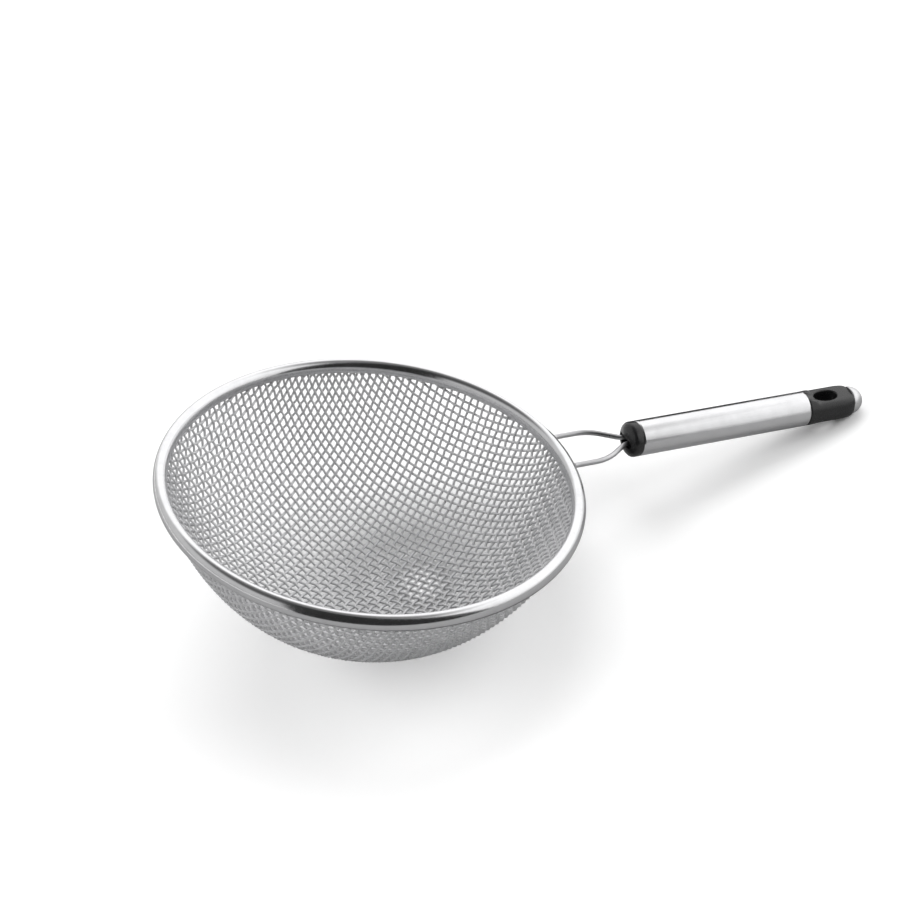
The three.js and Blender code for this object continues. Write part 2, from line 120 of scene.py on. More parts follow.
# Smoothness of the meshes
HOOP_STEPS = 320
SECTION_STEPS = 40
LIP_STOPS = (0.15, 0.5, 0.85)
ROUND_STEPS = 96
DOME_STEPS = 20
EDGE_STEPS = 5
EDGE_SEGMENTS = 3
BEND_STEPS = 15
WIRE_SIDES = 8
YOKE_SIDES = 20
SLOT_STEPS = 17
HOLE_SIDES = 24
HANG_HOLE_SIDES = 64
CAP_STEPS = 40
CAP_SIDES = 192
CORNER_ROUNDS = 10
ANGLE_TOLERANCE = 1e-9
# The most of a straight line that the rounding of a corner takes
LONGEST_ROUND_SHARE = 0.45
# The turn that makes an edge sharp, and how far over the rounding of the hang hole's lips goes
SHARP_ANGLE = math.radians(35)
LIP_TURN = math.radians(72)

# Values that follow from the sizes
hoop_radius = HOOP_DIAMETER / 2
section_half_width = HOOP_SECTION_WIDTH / 2
section_half_height = HOOP_SECTION_HEIGHT / 2
section_radius = hoop_radius - section_half_width
cloth_wire_radius = CLOTH_WIRE_DIAMETER / 2
yoke_wire_radius = YOKE_WIRE_DIAMETER / 2
handle_radius = HANDLE_DIAMETER / 2
spigot_radius = handle_radius - TUBE_WALL - SEAM
land_height = CAP_LAND_THICKNESS / 2
plug_face = hoop_radius + YOKE_LENGTH
tube_start = plug_face + PLUG_HEAD_LENGTH
tube_end = tube_start + TUBE_LENGTH
plug_end = tube_start + PLUG_SPIGOT_LENGTH
cap_end = tube_end + CAP_LENGTH

# The bowl is the bottom of a full ellipsoid, whose wall goes through the middle of the hoop's section
bowl_half_height = BOWL_DEPTH + BOWL_WIDEST_RISE
drop_share = (BOWL_WIDEST_RISE / bowl_half_height) ** BOWL_FULLNESS
bowl_half_width = section_radius / (1 - drop_share) ** (1 / BOWL_FULLNESS)
wall_angle = math.atan2((1 - drop_share) / section_radius, drop_share / BOWL_WIDEST_RISE)


# Places
def middle(node):
    """The middle of a solid's box."""
    low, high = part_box(node)
    return (low + high) / 2


def strainer_frame():
    """The matrix from the strainer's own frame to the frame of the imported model."""
    centre = middle("rim_hoop")
    along = (middle("handle_tube") - centre).normalized()
    across = Vector((0, 1, 0))
    turn = Matrix((along, across, along.cross(across))).transposed()
    return Matrix.Translation(centre) @ turn.to_4x4()


STRAINER = strainer_frame()


# Pieces
def add_mesh(name, points, faces):
    """A smooth mesh object from points in the strainer's own frame, with none let below the table."""
    turn = np.array(STRAINER.to_3x3())
    places = np.asarray(points, float) * MM @ turn.T + np.array(STRAINER.translation)
    places[:, 2] = places[:, 2].clip(0)
    mesh = bpy.data.meshes.new(name)
    mesh.from_pydata(places.tolist(), [], faces)
    mesh.shade_smooth()
    thing = bpy.data.objects.new(name, mesh)
    bpy.context.scene.collection.objects.link(thing)
    return thing


def dress(piece, material, slot, *nodes):
    """Gives a piece its material, and says which solids it stands for. The slot is not used."""
    piece.data.materials.clear()
    piece.data.materials.append(material)
    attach(piece, "root")
    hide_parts(*nodes)


# Faces and points
def full_turn(steps):
    """Angles spaced evenly round a circle."""
    return np.linspace(0, 2 * math.pi, steps, endpoint=False)


def ring_faces(rings, sides, closed_along):
    """Quads between rings of points, each ring closed round its sides."""
    faces = []
    for i in range(rings if closed_along else rings - 1):
        a, b = i * sides, (i + 1) % rings * sides
        faces += [(a + k, a + (k + 1) % sides, b + (k + 1) % sides, b + k) for k in range(sides)]
    return faces


def capped_faces(rings, sides):
    """Quads between rings of points, and a face on each end."""
    last = (rings - 1) * sides
    ends = [tuple(range(sides - 1, -1, -1)), tuple(range(last, last + sides))]
    return ring_faces(rings, sides, False) + ends


def unit(vectors):
    """The vectors with their lengths made 1."""
    return vectors / np.linalg.norm(vectors, axis=1)[:, None]


def tube_points(centres, radius, side, lift, sides):
    """Rings of points round a line of centres, in the plane of two directions at each."""
    rings = [centres + radius * (math.cos(a) * side + math.sin(a) * lift) for a in full_turn(sides)]
    return np.stack(rings, axis=1).reshape(-1, 3)


def turned_about_hoop(name, profile):
    """A closed (radius, height) profile turned round the hoop's axis."""
    r, z = np.array(profile).T
    points = [np.c_[r * math.cos(a), r * math.sin(a), z] for a in full_turn(HOOP_STEPS)]
    return add_mesh(name, np.vstack(points), ring_faces(HOOP_STEPS, len(r), True))


def turned_points(profile):
    """Points of a (distance, radius) profile turned round the handle's axis."""
    angles = full_turn(ROUND_STEPS)
    return [(x, r * math.cos(a), r * math.sin(a)) for x, r in profile for a in angles]


def turned_about_handle(name, profile):
    """An open (distance, radius) profile turned round the handle's axis, with a face on each end."""
    return add_mesh(name, turned_points(profile), capped_faces(len(profile), ROUND_STEPS))


def bend(start, corner, end, steps):
    """Points of a smooth bend from start to end, which rounds off the corner between them."""
    stops = np.linspace(0, 1, steps)
    return [start * (1 - t) ** 2 + corner * 2 * t * (1 - t) + end * t**2 for t in stops]


def rounded(corners, radius):
    """A line of corners with each one but the ends rounded off."""
    line = [corners[0]]
    for before, corner, after in zip(corners, corners[1:], corners[2:]):
        c = Vector(corner)
        a, b = (Vector(before) - c), (Vector(after) - c)
        longest = LONGEST_ROUND_SHARE * min(a.length, b.length)
        reach = min(radius / math.tan(a.angle(b) / 2), longest)
        arc = bend(c + a.normalized() * reach, c, c + b.normalized() * reach, EDGE_STEPS)
        line += [tuple(point) for point in arc]
    return [*line, corners[-1]]


def quarter_dome(apex, base, radius):
    """(distance, radius) points of a quarter ellipse from its base to just short of its apex."""
    angles = np.linspace(0, math.pi / 2, DOME_STEPS, endpoint=False)
    return [(base + (apex - base) * math.sin(a), radius * math.cos(a)) for a in angles]


def oval(centre, half_length, half_width, sides):
    """Points of an oval whose centre lies on the first axis."""
    return [(centre + half_length * math.cos(a), half_width * math.sin(a)) for a in full_turn(sides)]


# Cuts
def prism(name, outline, low, high):
    """A closed prism: an outline across the handle, pushed along it from low to high."""
    points = [(x, y, z) for x in (low, high) for y, z in outline]
    tool = add_mesh(name, points, capped_faces(2, len(outline)))
    shape = bmesh.new()
    shape.from_mesh(tool.data)
    bmesh.ops.recalc_face_normals(shape, faces=shape.faces)
    shape.to_mesh(tool.data)
    shape.free()
    return tool


def cut(piece, tools):
    """Sets the tools to be cut out of a piece."""
    for tool in tools:
        step = piece.modifiers.new("cut", "BOOLEAN")
        step.object = tool
        step.operation = "DIFFERENCE"
        step.solver = "EXACT"


def soften_edges(piece, width):
    """Sets the sharp edges that the cuts leave to be rounded."""
    step = piece.modifiers.new("edges", "BEVEL")
    step.width = width * MM
    step.segments = EDGE_SEGMENTS
    step.limit_method = "ANGLE"
    step.angle_limit = SHARP_ANGLE
    step.harden_normals = True


def apply_steps(piece, tools):
    """Makes the cuts and rounded edges part of the mesh, and removes the tools."""
    graph = bpy.context.evaluated_depsgraph_get()
    mesh = bpy.data.meshes.new_from_object(piece.evaluated_get(graph))
    piece.modifiers.clear()
    piece.data = mesh
    for tool in tools:
        bpy.data.objects.remove(tool)


# Rim: a strip rolled to an oval section, with its two lips turned in to the cloth
def section_arc(inset, angles):
    """(radius, height) points of the hoop's oval section, set in from its outer face."""
    wide, high = section_half_width - inset, section_half_height - inset
    return [(section_radius + wide * math.cos(a), high * math.sin(a)) for a in angles]


def rolled_lip(start, end):
    """Points of the rounded edge of the strip between its two faces."""
    s, e = Vector(start), Vector(end)
    bulge = Vector((e.y - s.y, s.x - e.x)) / 2
    return [tuple(s.lerp(e, t) + bulge * math.sin(math.pi * t)) for t in LIP_STOPS]


def rim_hoop(material):
    across = section_half_width * math.sin(wall_angle)
    down = section_half_height * math.cos(wall_angle)
    mouth = math.pi + math.atan2(across, down)
    arc_rate = math.hypot(section_half_width * math.sin(mouth), section_half_height * math.cos(mouth))
    half_mouth = (CLOTH_WIRE_DIAMETER + MOUTH_CLEARANCE) / arc_rate
    angles = np.linspace(mouth + half_mouth - 2 * math.pi, mouth - half_mouth, SECTION_STEPS)
    outside = section_arc(0, angles)
    inside = section_arc(HOOP_STRIP_THICKNESS, angles[::-1])
    first_lip = rolled_lip(outside[-1], inside[0])
    last_lip = rolled_lip(inside[-1], outside[0])
    rim = turned_about_hoop("rim", outside + first_lip + inside + last_lip)
    dress(rim, material, "polished_steel", "rim_hoop")


# Cloth: flat woven wire pressed into the bowl, so that its cells shear but keep the length of their sides
def meridian(t):
    """A point of the bowl in the plane of X and Z, where t is 0 at the bottom and grows outward."""
    radius = bowl_half_width * math.sin(t) ** (2 / BOWL_FULLNESS)
    drop = bowl_half_height * math.cos(t) ** (2 / BOWL_FULLNESS)
    return np.array([radius, 0, BOWL_WIDEST_RISE - drop])


def outward(p):
    """The bowl's outward direction at points of it, and how far they lie off it on the same scale."""
    x, y, z = np.moveaxis(np.asarray(p, float), -1, 0)
    radius = np.hypot(x, y)
    across = radius ** (BOWL_FULLNESS - 2) / bowl_half_width**BOWL_FULLNESS
    down = (BOWL_WIDEST_RISE - z) ** (BOWL_FULLNESS - 1) / bowl_half_height**BOWL_FULLNESS
    off = (radius**2 * across + (BOWL_WIDEST_RISE - z) * down - 1) / BOWL_FULLNESS
    return np.stack([x * across, y * across, -down], -1), off


def next_on_meridian(last):
    """The place on the meridian one pitch beyond the last one."""
    low, high = last, last + math.pi / 4
    while high - low > ANGLE_TOLERANCE:
        mid = (low + high) / 2
        if np.linalg.norm(meridian(mid) - meridian(last)) < CLOTH_PITCH:
            low = mid
        else:
            high = mid
    return low


def fourth_corner(a, b, opposite):
    """The corner of a cell that lies on the bowl, one pitch from both of its neighbours."""
    p = a + b - opposite
    for _ in range(CORNER_ROUNDS):
        from_a, from_b = p - a, p - b
        way, off_bowl = outward(p)
        off_a, off_b = ((side @ side - CLOTH_PITCH**2) / 2 for side in (from_a, from_b))
        p = p - np.linalg.solve(np.array([from_a, from_b, way]), np.array([off_a, off_b, off_bowl]))
    return p


def quarter_net():
    """The crossings in a quarter of the cloth, row by row, to a little above the hoop's centre."""
    angle = 0.0
    first = [meridian(0)]
    while first[-1][2] < CLOTH_PITCH:
        angle = next_on_meridian(angle)
        first.append(meridian(angle))
    net = [first]
    for side in first[1:]:
        row = [np.array([0, side[0], side[2]])]
        before = net[-1]
        for j in range(1, len(before)):
            if row[j - 1][2] > CLOTH_PITCH or before[j][2] > CLOTH_PITCH:
                break
            row.append(fourth_corner(row[j - 1], before[j], before[j - 1]))
        net.append(row)
    return net


def wire_line(net, i):
    """The crossings of wire number i from one end to the other, and the number of each."""
    row = net[abs(i)]
    side = 1 if i >= 0 else -1
    right = [np.array([p[0], side * p[1], p[2]]) for p in row]
    left = [np.array([-p[0], side * p[1], p[2]]) for p in row[:0:-1]]
    return left + right, range(-len(left), len(right))


def trimmed(line, numbers):
    """The line cut at the top of the cloth, with the number of each of its points."""
    below = [k for k, p in enumerate(line) if p[2] < CLOTH_TOP]
    if len(below) < 2:
        return [], []
    first, last = below[0], below[-1]
    points, marks = line[first:last + 1], [float(n) for n in numbers[first:last + 1]]
    for inside, beyond, at_start in ((first, first - 1, True), (last, last + 1, False)):
        if not 0 <= beyond < len(line):
            continue
        share = (CLOTH_TOP - line[inside][2]) / (line[beyond][2] - line[inside][2])
        end = line[inside] + (line[beyond] - line[inside]) * share
        mark = numbers[inside] + (numbers[beyond] - numbers[inside]) * share
        where = 0 if at_start else len(points)
        points.insert(where, end)
        marks.insert(where, mark)
    return points, marks


def with_midpoints(values):
    """The values, with the middle of each two neighbours between them."""
    values = np.array(values)
    finer = np.repeat(values, 2, axis=0)[:-1]
    finer[1::2] = (values[:-1] + values[1:]) / 2
    return finer


def woven_wire(line, marks, i, family):
    """Rings of points along one wire, over and under the wires that it crosses."""
    points = with_midpoints(line)
    heights = cloth_wire_radius * np.cos(math.pi * (with_midpoints(marks) + i + family))
    normal = unit(outward(points)[0])
    centres = points - normal * heights[:, None]
    way = unit(np.gradient(centres, axis=0))
    side = unit(np.cross(normal, way))
    return tube_points(centres, cloth_wire_radius, side, np.cross(way, side), WIRE_SIDES)


def cloth_family(name, net, family, material):
    """All the wires that run one way. Family 1 is family 0 with its two directions changed over."""
    turn = math.radians(CLOTH_TURN)
    c, s = math.cos(turn), math.sin(turn)
    points, faces, start = [], [], 0
    for i in range(1 - len(net), len(net)):
        line, marks = trimmed(*wire_line(net, i))
        if not line:
            continue
        rings = woven_wire(line, marks, i, family)
        x, y, z = rings[:, [1, 0, 2]].T if family else rings.T
        points.append(np.c_[x * c - y * s, x * s + y * c, z])
        for face in capped_faces(len(rings) // WIRE_SIDES, WIRE_SIDES):
            corners = face[::-1] if family else face
            faces.append(tuple(start + k for k in corners))
        start += len(rings)
    dress(add_mesh(name, np.vstack(points), faces), material, "woven_wire", "mesh_bowl")


# Yoke: a hairpin of wire whose legs are welded to the rim and whose neck goes into the plug
def straight(start, end):
    """Points about a millimetre apart from just after the start to the end."""
    steps = int((end - start).length)
    return [start.lerp(end, t / steps) for t in range(1, steps + 1)]


def yoke_path():
    """Points along the middle of the wire, from one weld to the other."""
    leg, neck = YOKE_LEG_SPACING / 2, YOKE_NECK_SPACING / 2
    leg_start = math.sqrt(hoop_radius**2 - leg**2) - WELD_SINK
    half = [
        (Vector((leg_start, leg, 0)), 0),
        (Vector((leg_start + YOKE_LEG_LENGTH, leg, 0)), YOKE_SHOULDER_REACH),
        (Vector((plug_face, neck, 0)), YOKE_NECK_REACH),
        (Vector((YOKE_END + yoke_wire_radius, neck, 0)), neck),
    ]
    corners = half + [(Vector((c.x, -c.y, 0)), reach) for c, reach in half[::-1]]
    path = [corners[0][0]]
    for (before, _), (corner, reach), (after, _) in zip(corners, corners[1:], corners[2:]):
        start = corner + (before - corner).normalized() * reach
        end = corner + (after - corner).normalized() * reach
        path += straight(path[-1], start)
        path += bend(start, corner, end, BEND_STEPS)[1:]
    path += straight(path[-1], corners[-1][0])
    return np.array(path)


def yoke_wire(material):
    path = yoke_path()
    way = unit(np.gradient(path, axis=0))
    up = np.array([0, 0, 1.0])
    run = np.r_[0, np.cumsum(np.linalg.norm(np.diff(path, axis=0), axis=1))]
    from_end = np.minimum(run, run[-1] - run)
    flare = WELD_FLARE * np.clip(1 - from_end / WELD_LENGTH, 0, 1) ** 2
    radius = (yoke_wire_radius + flare)[:, None]
    points = tube_points(path, radius, np.cross(up, way), up, YOKE_SIDES)
    yoke = add_mesh("yoke", points, capped_faces(len(path), YOKE_SIDES))
    dress(yoke, material, "yoke_steel", "yoke_wire")


# Plug: a domed head on a spigot, with a slot in its face for the yoke
def plug_slot():
    """A tool for the slot, which is round at both ends."""
    high = PLUG_SLOT_HEIGHT / 2
    reach = PLUG_SLOT_WIDTH / 2 - high
    ends = np.linspace(-math.pi / 2, math.pi / 2, SLOT_STEPS)
    outline = [(reach + high * math.cos(a), high * math.sin(a)) for a in ends]
    outline += [(-y, -z) for y, z in outline]
    return prism("slot", outline, plug_face - OVERSHOOT, plug_face + PLUG_SLOT_DEPTH)


def yoke_hole(side):
    """A tool for the hole of one leg of the yoke."""
    radius = yoke_wire_radius + SEAM
    outline = oval(side * YOKE_NECK_SPACING / 2, radius, radius, HOLE_SIDES)
    return prism("hole", outline, plug_face - OVERSHOOT, plug_end + OVERSHOOT)


def front_plug(material):
    head = tube_start - SEAM
    dome = quarter_dome(plug_face, plug_face + PLUG_DOME, handle_radius)[::-1]
    stem = [(head, handle_radius), (head, spigot_radius), (plug_end, spigot_radius)]
    body = rounded([dome[-1], *stem], PLUG_EDGE_ROUND)
    plug = turned_about_handle("plug", dome[:-1] + body)
    tools = [plug_slot(), yoke_hole(-1), yoke_hole(1)]
    cut(plug, tools)
    soften_edges(plug, PLUG_EDGE_ROUND)
    apply_steps(plug, tools)
    dress(plug, material, "black_plastic", "front_plug")


# Tube: the handle's sleeve, with its ends rolled in a little
def handle_tube(material):
    bore = handle_radius - TUBE_WALL
    rolled = handle_radius - TUBE_END_DROP
    corners = [
        (tube_start, bore),
        (tube_start, rolled),
        (tube_start + TUBE_END_ROLL, handle_radius),
        (tube_end - TUBE_END_ROLL, handle_radius),
        (tube_end, rolled),
        (tube_end, bore),
    ]
    middle_bore = ((tube_start + tube_end) / 2, bore)
    profile = rounded([middle_bore, *corners, middle_bore], TUBE_EDGE_ROUND)[:-1]
    tube = add_mesh("tube", turned_points(profile), ring_faces(len(profile), ROUND_STEPS, True))
    dress(tube, material, "tube_steel", "handle_tube")


# Cap: a shouldered end with two flat lands, whose edges are soft, and an oval hang hole
def cap_profile():
    """(distance, radius) points from the end of the spigot to the cap's end, as if it were round."""
    end_radius = CAP_END_DIAMETER / 2
    collar = tube_end + SEAM
    side = np.linspace(collar + CAP_EDGE_ROUND, cap_end - CAP_SHOULDER, CAP_STEPS)
    shoulder = []
    for a in np.linspace(0, math.pi / 2, DOME_STEPS):
        radius = end_radius + (handle_radius - end_radius) * math.cos(a)
        shoulder.append((cap_end - CAP_SHOULDER * (1 - math.sin(a)), radius))
    start = [
        (tube_end - CAP_SPIGOT_LENGTH, spigot_radius),
        (collar, spigot_radius),
        (collar, handle_radius),
        (side[1], handle_radius),
    ]
    end = [shoulder[-2], (cap_end, end_radius), (cap_end, end_radius - 2 * CAP_EDGE_ROUND)]
    straight_side = [(x, handle_radius) for x in side[2:]]
    return rounded(start, CAP_EDGE_ROUND) + straight_side + shoulder[1:-2] + rounded(end, CAP_EDGE_ROUND)


def land_heights(distances):
    """How high the lands lie above the handle's axis: a slope behind the collar, then flat."""
    rise = handle_radius - land_height + OVERSHOOT
    start = tube_end + CAP_COLLAR
    corners = [(start, land_height + rise), (start + rise, land_height), (cap_end + OVERSHOOT, land_height)]
    return np.interp(distances, *np.array(rounded(corners, CAP_RAMP_ROUND)).T)


def hang_hole():
    """A tool for the oval hole, wider at both lands so that its lips come out rounded."""
    lip = []
    for a in np.linspace(0, LIP_TURN, DOME_STEPS):
        lip.append((land_height - HANG_LIP_ROUND * (1 - math.sin(a)), HANG_LIP_ROUND * (1 - math.cos(a))))
    top, growth = lip[-1]
    lip.append((handle_radius, growth + (handle_radius - top) * math.tan(LIP_TURN)))
    layers = [(-height, grow) for height, grow in lip[::-1]] + lip
    centre = tube_end + HANG_HOLE_FROM_TUBE
    points = []
    for height, grow in layers:
        ring = oval(centre, HANG_HOLE_LENGTH / 2 + grow, HANG_HOLE_WIDTH / 2 + grow, HANG_HOLE_SIDES)
        points += [(x, y, height) for x, y in ring]
    return add_mesh("hang", points, capped_faces(len(layers), HANG_HOLE_SIDES))


def end_cap(material):
    x, radius = np.array(cap_profile()).T
    angles = full_turn(CAP_SIDES)
    reach = radius[:, None] * np.abs(np.sin(angles)) / land_heights(x)[:, None]
    r = radius[:, None] / (1 + reach**LAND_SHARPNESS) ** (1 / LAND_SHARPNESS)
    along = np.repeat(x[:, None], CAP_SIDES, axis=1)
    points = np.stack([along, r * np.cos(angles), r * np.sin(angles)], axis=-1).reshape(-1, 3)
    cap = add_mesh("cap", points, capped_faces(len(x), CAP_SIDES))
    tools = [hang_hole()]
    cut(cap, tools)
    apply_steps(cap, tools)
    dress(cap, material, "black_plastic", "end_cap")


# Button: the polished dome on the end of the handle
def end_button(material):
    start = cap_end + SEAM
    radius = BUTTON_DIAMETER / 2
    dome = quarter_dome(start + BUTTON_HEIGHT, start + BUTTON_EDGE_ROUND, radius)
    foot = rounded([(start, radius - BUTTON_FOOT), (start, radius), dome[1]], BUTTON_EDGE_ROUND)
    button = turned_about_handle("button", foot + dome[2:])
    dress(button, material, "polished_steel", "end_button")


# Materials: the range of a noise pattern that is used, and how much bluer than grey the steel is
PATTERN_LOW = 0.3
PATTERN_HIGH = 0.7
STEEL_BLUE = 0.01


def new_material(name):
    material = bpy.data.materials.new(name)
    material.use_nodes = True
    tree = material.node_tree
    return material, tree, tree.nodes["Principled BSDF"]


def noise(tree, scale, detail, stretch=(1, 1, 1)):
    """A noise pattern in the strainer's own frame, stretched along its axes."""
    place = tree.nodes.new("ShaderNodeTexCoord")
    mapping = tree.nodes.new("ShaderNodeMapping")
    mapping.vector_type = "TEXTURE"
    mapping.inputs["Location"].default_value = STRAINER.translation
    mapping.inputs["Rotation"].default_value = STRAINER.to_euler()
    mapping.inputs["Scale"].default_value = stretch
    pattern = tree.nodes.new("ShaderNodeTexNoise")
    pattern.inputs["Scale"].default_value = scale
    pattern.inputs["Detail"].default_value = detail
    tree.links.new(place.outputs["Object"], mapping.inputs["Vector"])
    tree.links.new(mapping.outputs["Vector"], pattern.inputs["Vector"])
    return pattern.outputs["Fac"]


def spread(tree, pattern, low, high):
    """A number that runs from low to high with a pattern."""
    step = tree.nodes.new("ShaderNodeMapRange")
    step.inputs["From Min"].default_value = PATTERN_LOW
    step.inputs["From Max"].default_value = PATTERN_HIGH
    step.inputs["To Min"].default_value = low
    step.inputs["To Max"].default_value = high
    tree.links.new(pattern, step.inputs["Value"])
    return step.outputs["Result"]


def ramp(tree, value, stops):
    """A colour that runs through (position, colour) stops."""
    step = tree.nodes.new("ShaderNodeValToRGB")
    elements = step.color_ramp.elements
    while len(elements) < len(stops):
        elements.new(0.5)
    for element, (position, colour) in zip(elements, stops):
        element.position = position
        element.color = (*colour, 1)
    tree.links.new(value, step.inputs["Fac"])
    return step.outputs["Color"]


def shades(tree, pattern, low, high):
    """A colour that runs from low to high with a pattern."""
    return ramp(tree, pattern, [(PATTERN_LOW, low), (PATTERN_HIGH, high)])


def bumps(tree, shader, pattern, strength, depth):
    """Fine relief from a pattern, with its depth in millimetres."""
    step = tree.nodes.new("ShaderNodeBump")
    step.inputs["Strength"].default_value = strength
    step.inputs["Distance"].default_value = depth * MM
    tree.links.new(pattern, step.inputs["Height"])
    tree.links.new(step.outputs["Normal"], shader.inputs["Normal"])


def steel(name, greys, roughness, line_scale, line_stretch=(1, 1, 1), metal=1):
    """Stainless steel with a faint cloudiness and the fine lines that its polishing left."""
    material, tree, shader = new_material(name)
    shader.inputs["Metallic"].default_value = metal
    clouds = noise(tree, scale=140, detail=3)
    lines = noise(tree, scale=line_scale, detail=2, stretch=line_stretch)
    dark, light = ((grey, grey, grey + STEEL_BLUE) for grey in greys)
    tree.links.new(shades(tree, clouds, dark, light), shader.inputs["Base Color"])
    tree.links.new(spread(tree, lines, *roughness), shader.inputs["Roughness"])
    bumps(tree, shader, lines, strength=0.15, depth=0.004)
    return material


def black_plastic():
    """Black moulded plastic with a fine satin grain."""
    material, tree, shader = new_material("black_plastic")
    clouds = noise(tree, scale=220, detail=3)
    grain = noise(tree, scale=2600, detail=2)
    dark, light = (0.006, 0.006, 0.0065), (0.012, 0.012, 0.0125)
    tree.links.new(shades(tree, clouds, dark, light), shader.inputs["Base Color"])
    tree.links.new(spread(tree, grain, 0.2, 0.32), shader.inputs["Roughness"])
    shader.inputs["Specular IOR Level"].default_value = 0.6
    bumps(tree, shader, grain, strength=0.25, depth=0.03)
    return material


def dress_hem_wire(material):
    """Gives a material to the wire hidden in the hoop, which keeps its solid's shape."""
    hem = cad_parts["hem_wire"]
    hem.data.materials.clear()
    hem.data.materials.append(material)


def dress_strainer():
    """Makes every material and piece. The cloth's wire is partly matt."""
    rim_steel = steel("rim_steel", (0.74, 0.8), (0.14, 0.22), 900)
    tube_steel = steel("tube_steel", (0.74, 0.8), (0.14, 0.24), 1500, line_stretch=(30, 1, 1))
    yoke_steel = steel("yoke_steel", (0.56, 0.64), (0.26, 0.38), 1200, line_stretch=(20, 1, 1))
    wire_steel = steel("wire_steel", (0.64, 0.74), (0.3, 0.44), 1200, metal=0.45)
    button_steel = steel("button_steel", (0.7, 0.76), (0.26, 0.34), 900)
    plastic = black_plastic()
    net = quarter_net()
    cloth_family("cloth_warp", net, 0, wire_steel)
    cloth_family("cloth_weft", net, 1, wire_steel)
    rim_hoop(rim_steel)
    yoke_wire(yoke_steel)
    front_plug(plastic)
    handle_tube(tube_steel)
    end_cap(plastic)
    end_button(button_steel)
    dress_hem_wire(wire_steel)


# Stage: lengths in metres, angles in degrees
FLOOR_HALF = 8
# The floor's colour for the light that it throws back, and for the camera and reflections
FLOOR_COLOUR = 0.65
FLOOR_SEEN_COLOUR = 1.12
# How matt the floor and the cards are
SHEET_ROUGHNESS = 0.9
SHEET_GLOSS = 0.1
# The lamps: how wide each one is, how far it leans from behind and from the left, and its strength
LAMPS = {
    "overhead": (140, 0, 0, 1.53),
    "behind": (40, 30, 0, 0.96),
    "left": (40, 0, 55, 0.97),
    "right": (40, 0, -55, 0.97),
}
ROOM_STRENGTH = 1.3
# How bright the room is in each direction: 0 is toward the camera, and 90 is to the camera's right
ROOM_ROUND = (
    (-180, 1),
    (-160, 1),
    (-142, 0.5),
    (-40, 0.42),
    (40, 0.5),
    (52, 0.7),
    (75, 0.85),
    (100, 1),
    (180, 1),
)
# How bright the room is at each angle above the floor
ROOM_ABOVE = ((0, 0.6), (10, 1), (44, 1), (58, 0.24), (90, 0.14))
# The black card: the directions of its upright edges from the left, and how bright it is between them
BLACK_CARD_DISTANCE = 0.5
BLACK_CARD_HEIGHT = 6
BLACK_CARD_EDGES = (-40, 22, 36, 50)
BLACK_CARD_COLOURS = (0.03, 0.03, 0.12)
# The cards on the floor: how bright each is, and two of its corners, toward the camera and to its right
FLOOR_CARDS = {
    "front_card": (0.38, (-0.07, -1.2), (1.2, 1.2)),
    "left_card": (0.45, (-0.6, -1.2), (-0.07, -0.1)),
    "right_card": (0.7, (-0.6, 0.1), (-0.07, 1.2)),
}
CARD_LIFT = 0.0005
# The card under the bowl that only reflections see, which paints the shade beneath the bowl: its colour,
# radius and sides
SHADE_CARD_COLOUR = 0.12
SHADE_CARD_RADIUS = 0.1
SHADE_CARD_SIDES = 48
# The flag: its place in millimetres in the strainer's own frame
FLAG_COLOUR = 0.06
FLAG_BEHIND = 60
FLAG_TOP = 25
FLAG_BOTTOM = -60
FLAG_OVERHANG = 60
# How near and how far the camera sees
CLIP_START = 0.05
CLIP_END = 20


def camera_azimuth():
    """The direction from the origin to the camera, seen from above."""
    place = bpy.context.scene.camera.matrix_world.translation
    return math.atan2(place.y, place.x)


def stage_place(ahead, right, height=0.0):
    """A place on the stage, from how far it is toward the camera, to the camera's right and up."""
    return Matrix.Rotation(camera_azimuth(), 3, "Z") @ Vector((ahead, right, height))


def combine(tree, kind, a, b):
    """A maths node for two sockets, or for a socket and a number."""
    step = tree.nodes.new("ShaderNodeMath")
    step.operation = kind
    for socket, value in zip(step.inputs, (a, b)):
        if isinstance(value, float):
            socket.default_value = value
        else:
            tree.links.new(value, socket)
    return step.outputs["Value"]


def add_sheet(name, corners, colour):
    """A flat matt sheet of the stage."""
    mesh = bpy.data.meshes.new(name)
    mesh.from_pydata(corners, [], [tuple(range(len(corners)))])
    thing = bpy.data.objects.new(name, mesh)
    bpy.context.scene.collection.objects.link(thing)
    material, tree, shader = new_material(name)
    shader.inputs["Base Color"].default_value = (colour, colour, colour, 1)
    shader.inputs["Roughness"].default_value = SHEET_ROUGHNESS
    shader.inputs["Specular IOR Level"].default_value = SHEET_GLOSS
    mesh.materials.append(material)
    return thing, tree, shader


def add_floor():
    """A pale floor, whiter for the camera and in reflections, so that its shadows fade to white."""
    h = FLOOR_HALF
    tree, shader = add_sheet("floor", [(-h, -h, 0), (h, -h, 0), (h, h, 0), (-h, h, 0)], FLOOR_COLOUR)[1:]
    path = tree.nodes.new("ShaderNodeLightPath")
    seen = combine(tree, "MAXIMUM", path.outputs["Is Camera Ray"], path.outputs["Is Glossy Ray"])
    whiter = combine(tree, "MULTIPLY", seen, FLOOR_SEEN_COLOUR - FLOOR_COLOUR)
    tree.links.new(combine(tree, "ADD", whiter, FLOOR_COLOUR), shader.inputs["Base Color"])


def add_card(name, corners, colour):
    """A sheet that only reflections see."""
    card = add_sheet(name, corners, colour)[0]
    card.visible_camera = False
    card.visible_diffuse = False
    card.visible_shadow = False
    card.visible_transmission = False


def add_floor_cards():
    """Grey cards on the floor, along and across the camera's direction."""
    for name, (colour, (x0, y0), (x1, y1)) in FLOOR_CARDS.items():
        corners = [stage_place(x, y, CARD_LIFT) for x, y in ((x0, y0), (x1, y0), (x1, y1), (x0, y1))]
        add_card(name, corners, colour)


